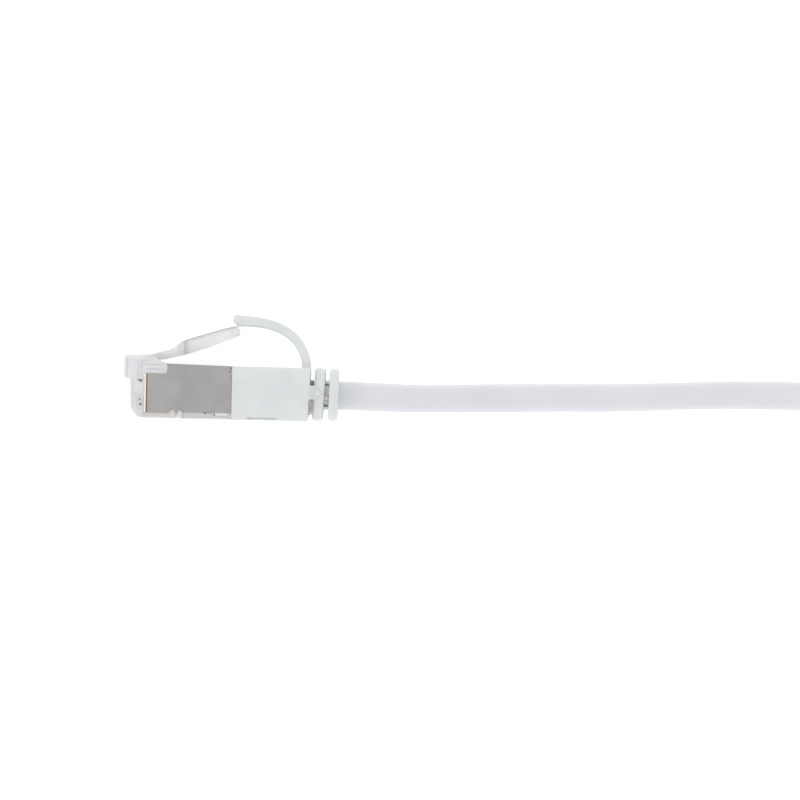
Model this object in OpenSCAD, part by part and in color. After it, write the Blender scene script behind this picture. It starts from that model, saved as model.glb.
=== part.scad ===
// Slim shielded patch cable: two eight-way modular plugs on one thin round cord.
// The near plug lies on its side. +X runs from its nose to the cable, +Y is its latch side, +Z is up.
// Each plug is drawn in its own frame: nose face at x = 0, contact side at y = 0, widths along z.

/* [Plug] */
// Width of the plug across its eight contacts
plug_w = 11.68; // [11.5:0.01:11.8]
// Overall length of the plug with its boot and rings
plug_l = 27.6; // [27.4:0.1:28.2]
// Height of the clear nose
nose_h = 8.25; // [8:0.05:8.3]
// Length of the clear nose in front of the shield
nose_l = 2.7; // [2.4:0.1:3]
// Spacing of the eight contacts
pitch = 1.016; // [1:0.001:1.03]
// Thickness of one contact blade
blade_t = 0.32; // [0.25:0.01:0.4]
// Diameter over one wire's insulation
wire_d = 0.74; // [0.6:0.02:0.76]

/* [Shield] */
// Where the shield ends and the boot begins
shield_end = 13.8; // [13.5:0.1:14]
// Height of the shield
shield_h = 7.2; // [7:0.05:7.4]
// Thickness of the shield's sheet metal
sheet_t = 0.25; // [0.2:0.01:0.3]

/* [Latch] */
// Width of the latch over its catch shoulders
latch_w = 6.2; // [5.8:0.1:6.4]
// Width of the latch's handle
handle_w = 3.26; // [3:0.02:3.4]

/* [Boot] */
// Height of the boot
boot_h = 7.0; // [6.8:0.1:7.1]
// Height of the two strain relief rings
ring_h = 6.6; // [6:0.1:6.8]
// Width of the two strain relief rings
ring_w = 9.4; // [8.8:0.1:10.4]
// Thickness of the snag guard
guard_t = 1.44; // [1.2:0.02:1.5]
// Width of the snag guard
guard_w = 6.2; // [5:0.1:6.6]

/* [Cord] */
// Diameter over the cord's jacket
cord_d = 3.7; // [3.5:0.1:3.8]
// Radius of the hank's inner turns, at the middle of the cord
fold_r = 11.4; // [11.2:0.1:12]
// Length of the hank's straight runs
run_l = 65; // [64:1:66]
// Thickness of the tie strap around the hank
tie_t = 0.6; // [0.5:0.1:0.8]
// Width of the tie strap around the hank
tie_w = 10; // [8:1:14]

/* [Hidden] */
$fn = 48;

gap = 0.02;
base_y = 0.1;
mid_z = plug_w / 2;
axis_y = 3.55;
neck_y = 3.35;
contact_x = 1.5;
contact_l = 4.8;
contact_corner_r = 0.6;
latch_pivot = [3.1, 7.98];
latch_root_r = 0.34;
guard_pivot = [23.1, 7.2];
guard_root_r = 0.72;
GUARD_TIP = [14.4, 12.97];
GUARD_BEND = [[19.0, 12.95], [22.9, 11.2]];
GUARD_FOOT = [23.1, 7.6];
boot_end = 23.85;
ring_t = 1.4;
ring_x = [plug_l - 3.25, plug_l - ring_t];
jacket_x = 26.5;
housing_end = 13.4;

clear_plastic = [0.86, 0.86, 0.93, 0.45];
boot_white = [0.87, 0.89, 0.89];
jacket_white = [0.86, 0.86, 0.88];
nickel = [0.66, 0.66, 0.65];
gold = [0.83, 0.66, 0.32];
copper = [0.55, 0.38, 0.27];
wire_colours = [[0.9, 0.75, 0.6], [0.85, 0.45, 0.1], [0.75, 0.85, 0.75], [0.2, 0.35, 0.7],
                [0.7, 0.8, 0.95], [0.15, 0.5, 0.25], [0.8, 0.7, 0.62], [0.4, 0.25, 0.15]];

// The cord's route on the surface it lies on, from inside the rear ring to the start of the hank.
LEAD_ROUTE = [
    [12.7, -3.35, 5.84], [14, -3.35, 5.84], [18, -3.45, 5.7], [23, -3.55, 5.3], [28, -3.45, 4.7],
    [33, -3.3, 4.0], [38, -3.15, 3.3], [43, -3.05, 2.7], [48, -2.95, 2.25], [53, -2.75, 1.98],
    [58, -2.5, 1.88], [63, -2.3, 1.85], [68, -2.2, 1.85], [73, -2.25, 1.85], [78, -2.8, 1.85],
    [83, -3.8, 1.85], [88, -4.6, 1.85], [92, -4.9, 1.85]];
// The cord's route from where it climbs onto the hank's last turn to the far plug inside the hank.
TAIL_ROUTE = [
    [165.9, -2, 9.25], [168.8, 1.6, 9.25], [170.3, 5.8, 9.25], [170.5, 10.2, 9.25], [169.4, 14.6, 9.25],
    [166.8, 18.2, 9.25], [163.1, 20.7, 9.25], [158.6, 21.7, 9.2], [154, 21.2, 9.0], [149.5, 19.8, 8.6],
    [145, 18.1, 8.0], [140.5, 16.5, 7.3], [136, 15.2, 6.7], [131.5, 14.2, 6.2], [127, 13.5, 5.9],
    [122.5, 13.15, 5.84], [118, 13.05, 5.84], [114.5, 13.05, 5.84]];

// The hank's long runs lie along X. Its left turn is centred on hank_left, its right turn run_l further on.
hank_left = [92, 10.2];
hank_outer_r = fold_r + cord_d * 1.5;
hank_inner_r = fold_r - cord_d / 2;
hank_h = cord_d * 2;
tie_x = 120;
tie_low = hank_left[1] - hank_outer_r;
tie_high = hank_left[1] - hank_inner_r;
far_at = [88, 16.6];

function near_shift() = [-plug_l / 2, -(base_y + GUARD_TIP[1] + guard_t / 2) / 2, 0];

module near() {
    translate(near_shift()) children();
}

module far() {
    translate([far_at[0], far_at[1], plug_w]) rotate([180, 0, 0]) children();
}

// A slab whose outline is drawn in the plug's side view, from z0 to z1.
module slab(outline, z0, z1) {
    translate([0, 0, z0]) linear_extrude(height = z1 - z0) polygon(outline);
}

module block(low, high) {
    translate(low) cube(high - low);
}

// A rod along X between two places.
module rod(x0, x1, y, z, r) {
    translate([x0, y, z]) rotate([0, 90, 0]) cylinder(r = r, h = x1 - x0);
}

// A plate across X: a rectangle in Y and Z with round corners.
module round_plate(x0, x1, low_y, high_y, w, r) {
    low_z = mid_z - w / 2;
    high_z = mid_z + w / 2;
    union() {
        block([x0, low_y + r, low_z], [x1, high_y - r, high_z]);
        block([x0, low_y, low_z + r], [x1, high_y, high_z - r]);
        for (y = [low_y + r, high_y - r], z = [low_z + r, high_z - r]) rod(x0, x1, y, z, r);
    }
}

function bezier(a, b, c, d, t) =
    a * pow(1 - t, 3) + 3 * b * t * pow(1 - t, 2) + 3 * c * t * t * (1 - t) + d * t * t * t;
function slope(a, b, c, d, t) =
    3 * (b - a) * pow(1 - t, 2) + 6 * (c - b) * t * (1 - t) + 3 * (d - c) * t * t;
function unit(v) = v / norm(v);

// A tube of n sides swept along a route. Each ring stands square to the route there.
function route_dir(route, i) =
    unit(route[min(i + 1, len(route) - 1)] - route[max(i - 1, 0)]);
function ring_side(dir) = unit(cross(dir, [0, 0, 1]));
module swept_tube(route, d, n = 8) {
    r = d / 2;
    last = len(route) - 1;
    points = [for (i = [0:last], k = [0:n - 1])
        let (dir = route_dir(route, i), side = ring_side(dir), up = cross(side, dir))
        route[i] + r * (cos((k + 0.5) * 360 / n) * side + sin((k + 0.5) * 360 / n) * up)];
    walls = [for (i = [0:last - 1], k = [0:n - 1])
        [i * n + k, i * n + (k + 1) % n, (i + 1) * n + (k + 1) % n, (i + 1) * n + k]];
    caps = [[for (k = [n - 1:-1:0]) k], [for (k = [0:n - 1]) last * n + k]];
    polyhedron(points = points, faces = concat(walls, caps), convexity = 6);
}

function wire_z(i) = mid_z + (i - 4.5) * pitch;
// Wires sit in two staggered rows. The upper row reaches into the clear nose, and the lower one ends
// just behind the shield's front edge. They gather into a round bundle in the boot.
upper_row_x = 1.6;
lower_row_x = 2.8;
function wire_x(i) = i % 2 == 0 ? upper_row_x : lower_row_x;
function wire_y(i) = i % 2 == 0 ? 4.95 : 3.95;
// In the bundle, wire 5 runs up the middle and the other seven stand around it.
bundle_r = 0.9;
bundle_place = [-2, -1, -3, 0, 0, 1, 3, 2];
function bundle_at(i) = i == 5 ? [axis_y, mid_z] :
    let (turn = bundle_place[i - 1] * 360 / 7)
    [axis_y + bundle_r * cos(turn), mid_z + bundle_r * sin(turn)];
function wire_route(i) =
    let (y = wire_y(i), z = wire_z(i), b = bundle_at(i))
    [for (s = [[wire_x(i), 0], [9, 0], [10.5, 0.06], [12.5, 0.3], [14.5, 0.7], [16.5, 0.94],
               [18, 1], [jacket_x, 1]])
        [s[0], y + (b[0] - y) * s[1], z + (b[1] - z) * s[1]]];

module wire(i) {
    swept_tube(wire_route(i), wire_d);
}

// One gold-plated contact: a flat blade with a round front corner and two tines that enter the wire.
module contact(i) {
    z = wire_z(i);
    top = wire_y(i) - wire_d / 2;
    union() {
        block([contact_x + contact_corner_r, 0.35, z - blade_t / 2],
              [contact_x + contact_l, 2.6, z + blade_t / 2]);
        block([contact_x, 0.35 + contact_corner_r, z - blade_t / 2],
              [contact_x + contact_corner_r, 2.6, z + blade_t / 2]);
        translate([contact_x + contact_corner_r, 0.35 + contact_corner_r, z - blade_t / 2])
            cylinder(r = contact_corner_r, h = blade_t);
        for (x = [3.2, 4.6]) block([x, 2.6, z - blade_t / 2], [x + 0.5, top + 0.3, z + blade_t / 2]);
    }
}

module housing_solid() {
    nose = [[0.62, 5.05], [0.82, 1.36], [1.83, 0.25], [nose_l, 0.2], [6.6, 0.2], [6.6, 0.95],
            [housing_end, 0.95], [housing_end, shield_h - sheet_t - gap], [5.55, shield_h - sheet_t - gap],
            [5.35, 7.3], [5.35, 7.6], [nose_l, 7.6], [nose_l, nose_h], [0.3, nose_h], [0, nose_h - 0.3],
            [0, 5.4], [0.2, 5.05]];
    difference() {
        slab(nose, 0, plug_w);
        for (z = [[-1, sheet_t + gap], [plug_w - sheet_t - gap, plug_w + 1]]) {
            block([nose_l + gap, -1, z[0]], [5.45, 5.97, z[1]]);
            block([5.4, -1, z[0]], [housing_end + 1, 9, z[1]]);
        }
        block([nose_l + gap, 6.9, 2.3], [6, 9, plug_w - 2.3]);
        block([7.6, 1.6, 1.3], [housing_end + 1, 6, plug_w - 1.3]);
        block([2.9, 3.2, 1.3], [7.7, 5.7, plug_w - 1.3]);
        for (i = [1:8]) {
            rod(wire_x(i) - 0.2, 3, wire_y(i), wire_z(i), wire_d / 2 + 0.06);
            block([contact_x - 0.1, -1, wire_z(i) - blade_t / 2 - gap],
                  [contact_x + contact_l + 0.05, 3.4, wire_z(i) + blade_t / 2 + gap]);
        }
    }
}

module load_bar_solid() {
    difference() {
        block([2.95, 3.25, 1.35], [7.5, 5.65, plug_w - 1.35]);
        for (i = [1:8]) {
            rod(2, 8, wire_y(i), wire_z(i), wire_d / 2 + 0.04);
            block([2, 3, wire_z(i) - blade_t / 2 - gap], [6.5, wire_y(i), wire_z(i) + blade_t / 2 + gap]);
        }
    }
}

module shield_solid() {
    side = [[nose_l, 0.93], [nose_l, 5.95], [5.4, 5.95], [5.5, shield_h], [shield_end - 0.05, shield_h],
            [shield_end - 0.05, 0.9], [7.2, 0.9], [7.2, 1.35], [7, 1.35], [6.9, 0.93]];
    union() {
        slab(side, 0, sheet_t);
        slab(side, plug_w - sheet_t, plug_w);
        block([5.5, shield_h - sheet_t, 0], [shield_end - 0.05, shield_h, plug_w]);
        difference() {
            round_plate(7.2, shield_end - 0.05, base_y, 2.5, plug_w, 0.8);
            round_plate(7, shield_end, base_y + sheet_t, 2.5, plug_w - 2 * sheet_t, 0.55);
            block([7, 0.9, -1], [shield_end, 3, plug_w + 1]);
        }
        // The crimp tail runs back inside the boot and wraps over the upper half of the cord.
        block([shield_end - 0.1, 5.65, mid_z - 1.3], [boot_end + 0.4, 5.65 + sheet_t, mid_z + 1.3]);
        block([shield_end - 0.3, 5.65, mid_z - 1.3], [shield_end - 0.05, shield_h - 0.1, mid_z + 1.3]);
        difference() {
            rod(18.5, boot_end + 0.4, neck_y, mid_z, 2.4);
            rod(18, boot_end + 1, neck_y, mid_z, 2.4 - sheet_t);
            block([18, 0, 0], [boot_end + 1, neck_y + 0.1, plug_w]);
        }
    }
}

// The braid, folded back as a sleeve where the crimp tail holds it, and drawn in under the ferrule.
module braid_solid() {
    difference() {
        rod(18.6, boot_end + 0.45, neck_y, mid_z, 2.12);
        rod(18, boot_end + 1, axis_y, mid_z, 1.42);
    }
}

module foil_solid() {
    difference() {
        rod(18.3, jacket_x, axis_y, mid_z, 1.4);
        rod(18, jacket_x + 1, axis_y, mid_z, 1.31);
    }
}

module ferrule_solid() {
    difference() {
        rod(boot_end + 0.5, jacket_x - 0.02, axis_y, mid_z, 1.52);
        rod(boot_end, jacket_x + 1, axis_y, mid_z, 1.42);
    }
}

module ring_plate(x) {
    difference() {
        round_plate(x, x + ring_t, 0.3, 0.3 + ring_h, ring_w, 2);
        rod(x - 1, x + ring_t + 1, axis_y, mid_z, 1.9);
    }
}

module boot_solid() {
    body = [[shield_end, base_y + 0.2], [shield_end + 0.2, base_y], [boot_end - 0.5, base_y],
            [boot_end, base_y + 0.5], [boot_end, boot_h], [shield_end, boot_h]];
    union() {
        difference() {
            slab(body, 0, plug_w);
            block([shield_end - 1, 1.2, 1.2], [17.8, 6.0, plug_w - 1.2]);
            rod(17, boot_end + 1, neck_y, mid_z, 2.44);
            block([17, 5.6, mid_z - 1.35], [boot_end + 1, 5.95, mid_z + 1.35]);
            translate([guard_pivot[0], guard_pivot[1], mid_z - guard_w / 2 - 0.05])
                cylinder(r = guard_root_r + 0.04, h = guard_w + 0.1);
        }
        for (x = ring_x) ring_plate(x);
        // Webs join the boot and the rings, first on the two sides and then above and below.
        for (z = [mid_z - ring_w / 2, mid_z + ring_w / 2 - 1])
            block([boot_end - 0.1, 3.0, z], [ring_x[0] + 0.1, 4.7, z + 1]);
        for (y = [1.2, 5.6])
            block([ring_x[0] + ring_t - 0.1, y, mid_z - 1.5], [ring_x[1] + 0.1, y + 0.4, mid_z + 1.5]);
    }
}

// The latch: a round root, a thin blade with catch shoulders, and a narrower handle.
module latch_solid() {
    blade = [[3.1, 7.7], [5.1, 7.72], [7.4, 8.27], [7.6, 9.9], [7, 9.85], [5.75, 9.05], [3.4, 8.3]];
    handle = [[6.5, 8.05], [8.3, 8.54], [10.9, 9.42], [13.1, 10.3], [14.5, 10.82], [14.7, 11.6],
              [14.2, 12.15], [12.1, 11.66], [8.3, 10.5], [6.9, 9.8]];
    union() {
        translate([latch_pivot[0], latch_pivot[1], mid_z - latch_w / 2])
            cylinder(r = latch_root_r, h = latch_w);
        slab(blade, mid_z - latch_w / 2, mid_z + latch_w / 2);
        slab(handle, mid_z - handle_w / 2, mid_z + handle_w / 2);
    }
}

// The guard's middle line is one curve, from its tip over the latch to its root on the boot.
function guard_mid(t) = bezier(GUARD_TIP, GUARD_BEND[0], GUARD_BEND[1], GUARD_FOOT, t);
function guard_side(t) =
    let (v = unit(slope(GUARD_TIP, GUARD_BEND[0], GUARD_BEND[1], GUARD_FOOT, t))) [v[1], -v[0]];
module snag_guard_solid() {
    steps = 14;
    inner = [for (k = [0:steps]) guard_mid(k / steps) + guard_t / 2 * guard_side(k / steps)];
    outer = [for (k = [steps:-1:0]) guard_mid(k / steps) - guard_t / 2 * guard_side(k / steps)];
    union() {
        slab(concat(inner, [[23.1 - guard_root_r, guard_pivot[1]], [23.1 + guard_root_r, guard_pivot[1]]],
                    outer), mid_z - guard_w / 2, mid_z + guard_w / 2);
        translate([guard_pivot[0], guard_pivot[1], mid_z - guard_w / 2])
            cylinder(r = guard_root_r, h = guard_w);
        translate([GUARD_TIP[0], GUARD_TIP[1], mid_z - guard_w / 2])
            cylinder(r = guard_t / 2, h = guard_w);
    }
}

// A long loop: two straight runs along X with round ends.
module loop_outline(r) {
    union() {
        for (x = [0, run_l]) translate([hank_left[0] + x, hank_left[1]]) circle(r = r);
        translate([hank_left[0], hank_left[1] - r]) square([run_l, 2 * r]);
    }
}

module plug_housing() {
    color(clear_plastic) near() housing_solid();
}

module latch() {
    color(clear_plastic) near() latch_solid();
}

module load_bar() {
    color("gainsboro") near() load_bar_solid();
}

module shield_shell() {
    color(nickel) near() shield_solid();
}

module crimp_ferrule() {
    color(nickel) near() ferrule_solid();
}

module braid_screen() {
    color(copper) near() braid_solid();
}

module foil_screen() {
    color("silver") near() foil_solid();
}

module boot() {
    color(boot_white) near() boot_solid();
}

module snag_guard() {
    color(boot_white) near() snag_guard_solid();
}

module cable_lead() {
    color(jacket_white) swept_tube(LEAD_ROUTE, cord_d);
}

module cable_tail() {
    color(jacket_white) swept_tube(TAIL_ROUTE, cord_d);
}

// The hank lies flat, and lifts a little where the tie strap passes under its lower run.
module hank() {
    color(jacket_white) difference() {
        linear_extrude(height = hank_h) loop_outline(hank_outer_r);
        translate([0, 0, -1]) linear_extrude(height = hank_h + 2) loop_outline(hank_inner_r);
        block([tie_x - 0.5, tie_low - 1, -1], [tie_x + tie_w + 0.5, tie_high + 1, tie_t]);
    }
}

// The tie strap goes once around the hank's lower run.
module hank_tie() {
    color("dimgray") difference() {
        block([tie_x, tie_low - tie_t, 0], [tie_x + tie_w, tie_high + tie_t, hank_h + 2 * tie_t]);
        block([tie_x - 1, tie_low, tie_t], [tie_x + tie_w + 1, tie_high, hank_h + tie_t]);
    }
}

module far_plug_housing() {
    color(clear_plastic) far() housing_solid();
}

module far_latch() {
    color(clear_plastic) far() latch_solid();
}

module far_contacts() {
    color(gold) far() for (i = [1:8]) contact(i);
}

module far_load_bar() {
    color("gainsboro") far() load_bar_solid();
}

module far_shield_shell() {
    color(nickel) far() shield_solid();
}

module far_crimp_ferrule() {
    color(nickel) far() ferrule_solid();
}

module far_braid_screen() {
    color(copper) far() braid_solid();
}

module far_wires() {
    color(wire_colours[1]) far() for (i = [1:8]) wire(i);
}

module far_boot() {
    color(boot_white) far() boot_solid();
}

module far_snag_guard() {
    color(boot_white) far() snag_guard_solid();
}

plug_housing();
latch();
load_bar();
shield_shell();
crimp_ferrule();
braid_screen();
foil_screen();
boot();
snag_guard();
for (i = [1:8]) color(gold) near() contact(i);
for (i = [1:8]) color(wire_colours[i - 1]) near() wire(i);
cable_lead();
cable_tail();
hank();
hank_tie();
far_plug_housing();
far_latch();
far_contacts();
far_load_bar();
far_shield_shell();
far_crimp_ferrule();
far_braid_screen();
far_wires();
far_boot();
far_snag_guard();
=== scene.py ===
"""A slim shielded patch cable: two clear modular plugs with metal shields and white moulded boots,
on one thin round cord. The near plug lies on its side on a pale floor, seen from straight above.
The cord's unseen length is folded into a tied hank, with the far plug inside its loop."""
import math

import bmesh
import bpy
import numpy as np
from mathutils import Matrix, Vector


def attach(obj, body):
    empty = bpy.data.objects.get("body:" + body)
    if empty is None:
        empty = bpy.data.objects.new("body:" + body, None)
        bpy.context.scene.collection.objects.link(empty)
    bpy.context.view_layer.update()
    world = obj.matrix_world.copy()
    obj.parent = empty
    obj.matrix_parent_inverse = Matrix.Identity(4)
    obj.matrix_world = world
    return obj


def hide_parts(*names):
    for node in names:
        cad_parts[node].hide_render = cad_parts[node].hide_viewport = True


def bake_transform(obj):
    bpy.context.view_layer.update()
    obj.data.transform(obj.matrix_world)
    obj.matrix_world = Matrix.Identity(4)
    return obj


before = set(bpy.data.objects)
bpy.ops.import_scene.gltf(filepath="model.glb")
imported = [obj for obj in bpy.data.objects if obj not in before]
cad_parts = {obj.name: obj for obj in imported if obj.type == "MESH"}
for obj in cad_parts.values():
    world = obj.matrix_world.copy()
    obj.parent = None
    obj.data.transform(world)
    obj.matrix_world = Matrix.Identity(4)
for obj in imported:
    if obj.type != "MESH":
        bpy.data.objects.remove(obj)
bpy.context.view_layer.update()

MM = 0.001

# --- The plug's own frame, in millimetres: nose face at x = 0, contact side at y = 0, width along z ---
PLUG_W = 11.68
PLUG_L = 27.6
MID_Z = PLUG_W / 2
BOTTOM = 0.1            # lowest edge of the shield and the boot
NOSE_H = 8.25
NOSE_L = 2.7
AXIS_Y = 3.55           # middle of the cord
NECK_Y = 3.05           # middle of the crimped neck in the boot
NECK_HALF_Z = 4.0       # the crimp squeezes the neck to an oval, wide in Z
FLATNESS = 0.6          # power that flattens the neck's broad sides
BARREL_FLATNESS = 0.15  # the same for the ferrule, which the crimp tool squares
SHIELD_H = 7.2
SHIELD_END = 13.8
SHEET_T = 0.25
LATCH_W = 6.2
HANDLE_W = 3.26
BOOT_END = 23.85
BOOT_H = 7.0
GUARD_TIP_R = 0.68      # half the guard's thickness at its free end
GUARD_ROOT_R = 0.58     # and at its foot
GUARD_W = 6.2
GUARD_TOP = 13.69
GUARD_LINE = [(14.4, 12.82), (23.4, 13.2), (23.6, 7.1), (23.2, 6.0)]   # a Bezier curve's points
JACKET_X = 26.5         # where the jacket ends inside the rear ring
FAR_AT = (88, 16.6)     # the far plug's nose, in the shared frame

# --- The cord, in millimetres in the shared frame ---
CORD_D = 3.7
FOLD_R = 11.4                        # radius of the hank's inner folds, at the cord's middle
RUN_L = 65                           # length of the hank's straight runs
HANK_LEFT = (92, 10.2)               # middle of its left folds
TIE_X, TIE_W, TIE_T = 120, 10, 0.6   # the tie strap's start along X, its width and its thickness
# From the near boot to the hank
LEAD_ROUTE = [
    (12.7, -3.35, 5.84), (14, -3.35, 5.84), (18, -3.45, 5.7), (23, -3.55, 5.3), (28, -3.45, 4.7),
    (33, -3.3, 4.0), (38, -3.15, 3.3), (43, -3.05, 2.7), (48, -2.95, 2.25), (53, -2.75, 1.98),
    (58, -2.5, 1.88), (63, -2.3, 1.85), (68, -2.2, 1.85), (73, -2.25, 1.85), (78, -2.8, 1.85),
    (83, -3.8, 1.85), (88, -4.6, 1.85)]
# From the hank to the far boot
TAIL_ROUTE = [
    (165.9, -2, 9.25), (168.8, 1.6, 9.25), (170.3, 5.8, 9.25), (170.5, 10.2, 9.25), (169.4, 14.6, 9.25),
    (166.8, 18.2, 9.25), (163.1, 20.7, 9.25), (158.6, 21.7, 9.2), (154, 21.2, 9.0), (149.5, 19.8, 8.6),
    (145, 18.1, 8.0), (140.5, 16.5, 7.3), (136, 15.2, 6.7), (131.5, 14.2, 6.2), (127, 13.5, 5.9),
    (122.5, 13.15, 5.84), (118, 13.05, 5.84), (114.5, 13.05, 5.84)]

origin_y = (BOTTOM + GUARD_TOP) / 2
NEAR = Matrix.Translation((-PLUG_L / 2 * MM, -origin_y * MM, 0)) @ Matrix.Scale(MM, 4)
FAR = (Matrix.Translation((FAR_AT[0] * MM, FAR_AT[1] * MM, PLUG_W * MM))
       @ Matrix.Rotation(math.pi, 4, "X") @ Matrix.Scale(MM, 4))


def new_object(name, data):
    obj = bpy.data.objects.new(name, data)
    bpy.context.collection.objects.link(obj)
    return obj


# -------- camera
def make_camera():
    """Straight above, turned a little as the photograph is. Lengths are in metres."""
    view_w = 0.1026
    distance = 1.2
    target_x, target_y, target_z = 0.02156, -0.00376, 0.0075
    roll = 1.2      # degrees
    data = bpy.data.cameras.new("camera")
    cam = new_object("camera", data)
    data.sensor_width = 36
    data.lens = data.sensor_width * distance / view_w
    data.clip_start = 0.01
    data.clip_end = 20
    cam.location = (target_x, target_y, target_z + distance)
    cam.rotation_euler = (0, 0, math.radians(roll))
    bpy.context.scene.camera = cam


make_camera()


# -------- the cord
def ease(t):
    """From 0 to 1, slow at both ends."""
    t = min(max(t, 0), 1)
    return t * t * (3 - 2 * t)


def between(keys, u):
    """A value eased between (u, value) keys."""
    if u <= keys[0][0]:
        return keys[0][1]
    for (a, va), (b, vb) in zip(keys, keys[1:]):
        if u <= b:
            return va + (vb - va) * ease((u - a) / (b - a))
    return keys[-1][1]


# A turn of the hank is four sections: lower run, right bend, upper run, left bend.
# The cord winds inwards on the floor, then outwards on top, and crosses inside to the far plug.
HANK_SECTIONS = 13.1
INNER_R, OUTER_R = FOLD_R, FOLD_R + CORD_D
LAYER = [CORD_D * (k + 0.5) for k in range(3)]   # heights of the cord's middle in each layer
# Radius and height of the cord's middle along the hank, as (sections, value)
RADIUS_KEYS = [(0, OUTER_R), (2.3, OUTER_R), (2.75, INNER_R), (9.2, INNER_R), (9.9, OUTER_R),
               (13.1, OUTER_R), (13.95, INNER_R + 0.2)]
HEIGHT_KEYS = [(0, LAYER[0]), (6.0, LAYER[0]), (6.35, LAYER[1]), (10.55, LAYER[1]), (10.95, LAYER[0]),
               (11.33, LAYER[0]), (11.8, LAYER[1]), (12.75, LAYER[1]), (13.2, LAYER[2]), (13.9, LAYER[2])]


def hank_point(u):
    """A point of the hank, u sections along it."""
    r, z = between(RADIUS_KEYS, u), between(HEIGHT_KEYS, u)
    left, mid = HANK_LEFT
    section, f = int(u) % 4, u - int(u)
    if section == 0:
        x = left + f * RUN_L
        hump = 9     # half the length of its rise over the tie strap
        lift = TIE_T * math.exp(-((x - TIE_X - TIE_W / 2) / hump) ** 4)
        return x, mid - r, z + lift
    if section == 2:
        return left + (1 - f) * RUN_L, mid + r, z
    turn = math.radians((-90 if section == 1 else 90) + 180 * f)
    middle = left + (RUN_L if section == 1 else 0)
    return middle + r * math.cos(turn), mid + r * math.sin(turn), z


def smooth_line(points, step):
    """Points a step apart along the smooth curve through the given ones (centripetal Catmull-Rom)."""
    p = [np.array(q, float) for q in points]
    p = [2 * p[0] - p[1]] + p + [2 * p[-1] - p[-2]]
    dense = []
    for a, b, c, d in zip(p, p[1:], p[2:], p[3:]):
        t0, t1 = 0.0, np.linalg.norm(b - a) ** 0.5
        t2 = t1 + np.linalg.norm(c - b) ** 0.5
        t3 = t2 + np.linalg.norm(d - c) ** 0.5
        n = max(2, int(np.linalg.norm(c - b) / 0.2))
        for t in np.linspace(t1, t2, n, endpoint=False):
            ab = a * (t1 - t) / (t1 - t0) + b * (t - t0) / (t1 - t0)
            bc = b * (t2 - t) / (t2 - t1) + c * (t - t1) / (t2 - t1)
            cd = c * (t3 - t) / (t3 - t2) + d * (t - t2) / (t3 - t2)
            abc = ab * (t2 - t) / (t2 - t0) + bc * (t - t0) / (t2 - t0)
            bcd = bc * (t3 - t) / (t3 - t1) + cd * (t - t1) / (t3 - t1)
            dense.append(abc * (t2 - t) / (t2 - t1) + bcd * (t - t1) / (t2 - t1))
    dense.append(p[-2])
    dense = np.array(dense)
    along = np.r_[0, np.cumsum(np.linalg.norm(np.diff(dense, axis=0), axis=1))]
    count = int(round(along[-1] / step))
    marks = np.linspace(0, along[-1], count + 1)
    return np.stack([np.interp(marks, along, dense[:, k]) for k in range(3)], axis=1)


def cord_line():
    """The middle of the whole cord: lead, hank and tail."""
    turns = [hank_point(u) for u in np.arange(0, HANK_SECTIONS, 1 / 16)]
    return smooth_line(LEAD_ROUTE + turns + TAIL_ROUTE, 0.8)


def sweep(name, line, radius_at, sides):
    """A closed tube along a line. radius_at(distance along, angle) gives the radius."""
    line = np.asarray(line, float)
    steps = np.r_[0, np.cumsum(np.linalg.norm(np.diff(line, axis=0), axis=1))]
    tangent = np.gradient(line, axis=0)
    tangent /= np.linalg.norm(tangent, axis=1)[:, None]
    side = np.cross(tangent[0], (0, 0, 1.0))
    verts, faces = [], []
    for i, (p, t) in enumerate(zip(line, tangent)):
        side = side - t * np.dot(side, t)
        side /= np.linalg.norm(side)
        up = np.cross(side, t)
        for k in range(sides):
            a = 2 * math.pi * k / sides
            verts.append(p + radius_at(steps[i], a) * (math.cos(a) * side + math.sin(a) * up))
    for i in range(len(line) - 1):
        for k in range(sides):
            j = (k + 1) % sides
            faces.append((i * sides + k, (i + 1) * sides + k, (i + 1) * sides + j, i * sides + j))
    last = (len(line) - 1) * sides
    faces.append(tuple(range(sides)))
    faces.append(tuple(last + k for k in reversed(range(sides))))
    mesh = bpy.data.meshes.new(name)
    mesh.from_pydata([tuple(v) for v in verts], [], faces)
    mesh.update()
    for poly in mesh.polygons:
        poly.use_smooth = len(poly.vertices) == 4
    return new_object(name, mesh)


def jacket_radius(s, a):
    """A thin jacket over four twisted pairs isn't quite round: a shallow, uneven helix shows."""
    helix = 0.018 * math.sin(2 * a + 2 * math.pi * s / 17) + 0.01 * math.sin(a - 2 * math.pi * s / 31)
    swell = 0.014 * math.sin(s / 9.3) + 0.01 * math.sin(s / 4.1 + 1)
    return CORD_D / 2 - 0.03 + helix + swell


line_mm = cord_line()
cable = sweep("cable", line_mm, jacket_radius, 24)
cable.data.transform(Matrix.Scale(MM, 4))
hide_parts("cable_lead", "cable_tail", "hank")
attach(cable, "cable")


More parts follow.
